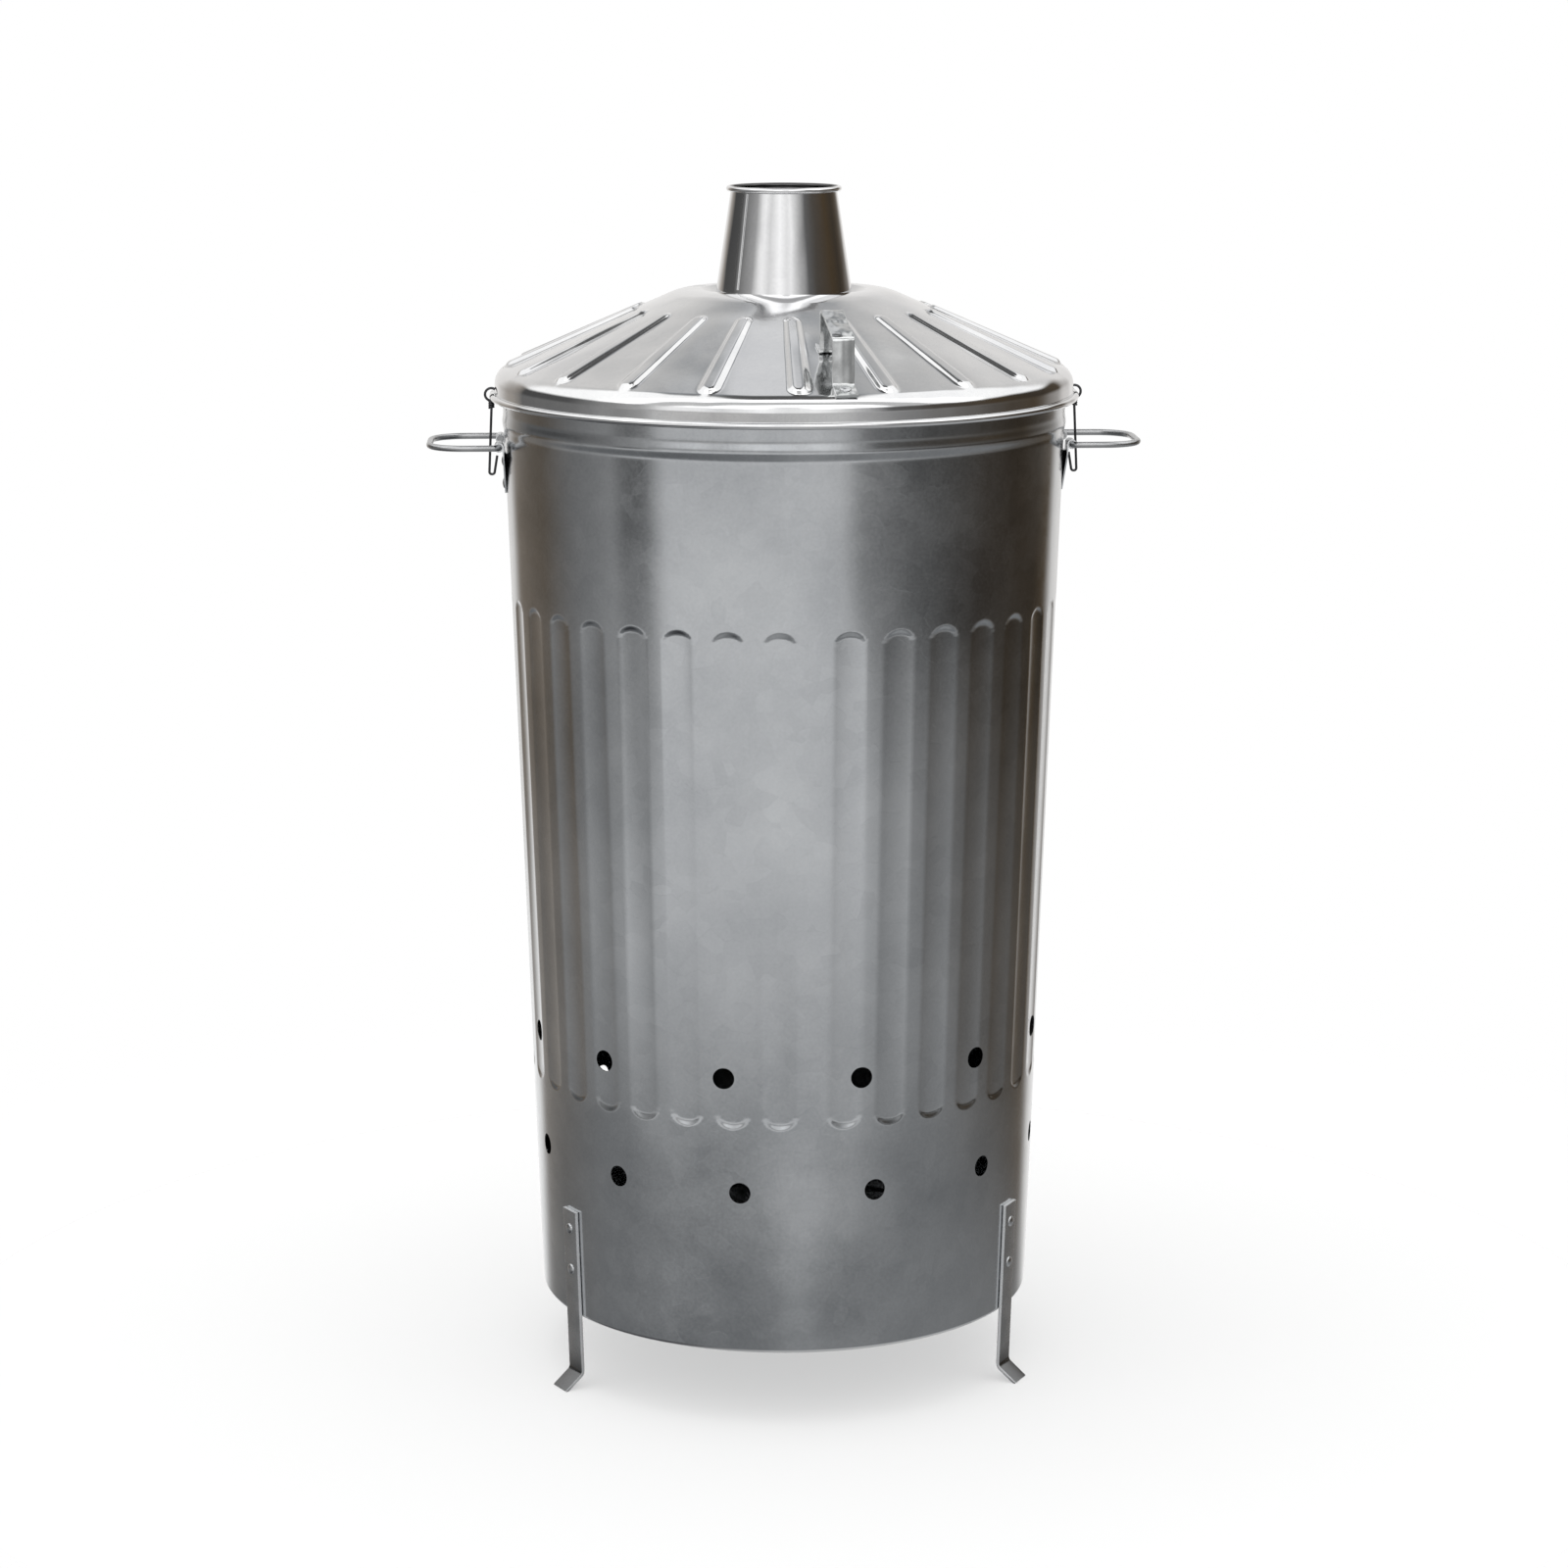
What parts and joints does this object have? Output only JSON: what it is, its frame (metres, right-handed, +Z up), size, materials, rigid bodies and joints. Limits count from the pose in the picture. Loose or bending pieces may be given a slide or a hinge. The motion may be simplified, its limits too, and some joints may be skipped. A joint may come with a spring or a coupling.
{
  "type": "garden incinerator",
  "caption": "Tapered galvanised steel garden incinerator bin with pressed flutes, air holes, strap legs, wire side handles, wire lid clips and a ribbed lift-off lid with a chimney.",
  "frame": {"origin": "on the ground, on the bin's axis, between the three feet", "axes": "+Z up along the bin's axis, -Y towards the front, +X towards the right-hand handle"},
  "size_m": [0.5716, 0.4712, 0.9626],
  "materials": {
    "galvanised_sheet": "satin hot-dip galvanised, soft spangle",
    "bright_sheet": "bright galvanised, lightly polished",
    "zinc_strap": "satin zinc plated",
    "rivet_steel": "satin steel",
    "handle_wire": "satin zinc plated wire",
    "dark_wire": "dark drawn wire"
  },
  "bodies": {
    "bin": {"body_shell": "galvanised_sheet", "base_pan": "galvanised_sheet", "leg_front_left": "zinc_strap", "leg_front_right": "zinc_strap", "leg_rear": "zinc_strap", "leg_rivets": "rivet_steel", "handle_bracket_left": "zinc_strap", "handle_bracket_right": "zinc_strap", "bracket_rivets": "rivet_steel"},
    "handle_left": {"side_handle_left": "handle_wire"},
    "handle_right": {"side_handle_right": "handle_wire"},
    "lid": {"lid_shell": "bright_sheet", "lid_rim_wire": "handle_wire", "chimney": "bright_sheet", "lid_handle": "zinc_strap", "lid_handle_rivets": "rivet_steel"},
    "clip_left": {"lid_clip_left": "dark_wire"},
    "clip_right": {"lid_clip_right": "dark_wire"}
  },
  "joints": [
    {"name": "lid_lift", "type": "slide", "parent": "bin", "child": "lid", "axis": [0, 0, 1], "range_m": [0, 0.45]},
    {"name": "handle_left_swing", "type": "hinge", "parent": "bin", "child": "handle_left", "pos_m": [-0.22778, 0, 0.75988], "axis": [0, 1, 0], "range_deg": [-80, 65]},
    {"name": "handle_right_swing", "type": "hinge", "parent": "bin", "child": "handle_right", "pos_m": [0.22778, 0, 0.75988], "axis": [0, -1, 0], "range_deg": [-80, 65]},
    {"name": "clip_left_swing", "type": "hinge", "parent": "lid", "child": "clip_left", "pos_m": [-0.234, 0, 0.7981], "axis": [0, 1, 0], "range_deg": [0, 40]},
    {"name": "clip_right_swing", "type": "hinge", "parent": "lid", "child": "clip_right", "pos_m": [0.234, 0, 0.7981], "axis": [0, -1, 0], "range_deg": [0, 40]}
  ]
}
